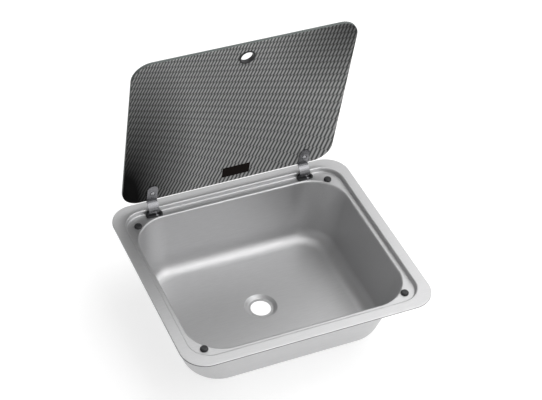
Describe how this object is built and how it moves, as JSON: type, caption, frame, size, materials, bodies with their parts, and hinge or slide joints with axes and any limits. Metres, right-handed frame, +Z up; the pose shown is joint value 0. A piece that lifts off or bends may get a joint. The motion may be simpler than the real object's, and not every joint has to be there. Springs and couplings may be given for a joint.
{
  "type": "drop-in camper sink with hinged glass lid",
  "caption": "Rectangular pressed steel drop-in bowl with a stepped rim, drain hole and a glass lid that swings up on two hinge arms.",
  "frame": {"origin": "centre of the drain hole, on the lower face of the sheet round it", "axes": "+Z up along the drain hole, +Y to the hinge side, +X to the right as seen by the user in front"},
  "size_m": [0.418, 0.37, 0.4676],
  "materials": {
    "steel_bowl": "satin pressed stainless steel",
    "steel_arm": "satin, polished on the bend",
    "bright_steel": "bright",
    "black_plastic": "satin black",
    "black_rubber": "matt black",
    "lid_glass": "dark printed toughened glass",
    "label": "satin, plain",
    "white_nylon": "natural nylon"
  },
  "bodies": {
    "sink": {"sink_bowl": "steel_bowl", "lid_buffer_front_left": "black_rubber", "lid_buffer_front_right": "black_rubber", "lid_buffer_back_left": "black_rubber", "lid_buffer_back_right": "black_rubber", "hinge_pocket_left": "black_plastic", "hinge_bezel_left": "black_plastic", "hinge_pin_left": "bright_steel", "pocket_screw_left": "bright_steel", "eye_washers_left": "white_nylon", "hinge_pocket_right": "black_plastic", "hinge_bezel_right": "black_plastic", "hinge_pin_right": "bright_steel", "pocket_screw_right": "bright_steel", "eye_washers_right": "white_nylon"},
    "lid": {"glass_lid": "lid_glass", "finger_hole_grommet": "black_rubber", "label_plate": "label", "hinge_arm_left": "steel_arm", "leaf_pad_left": "black_rubber", "bolt_bush_left": "white_nylon", "leaf_bolt_left": "bright_steel", "cap_nut_left": "bright_steel", "nut_pad_left": "black_rubber", "hinge_arm_right": "steel_arm", "leaf_pad_right": "black_rubber", "bolt_bush_right": "white_nylon", "leaf_bolt_right": "bright_steel", "cap_nut_right": "bright_steel", "nut_pad_right": "black_rubber"}
  },
  "joints": [
    {"name": "lid_hinge", "type": "hinge", "parent": "sink", "child": "lid", "pos_m": [0, 0.1589, 0.1325], "axis": [1, 0, 0], "range_deg": [0, 80.75]}
  ]
}
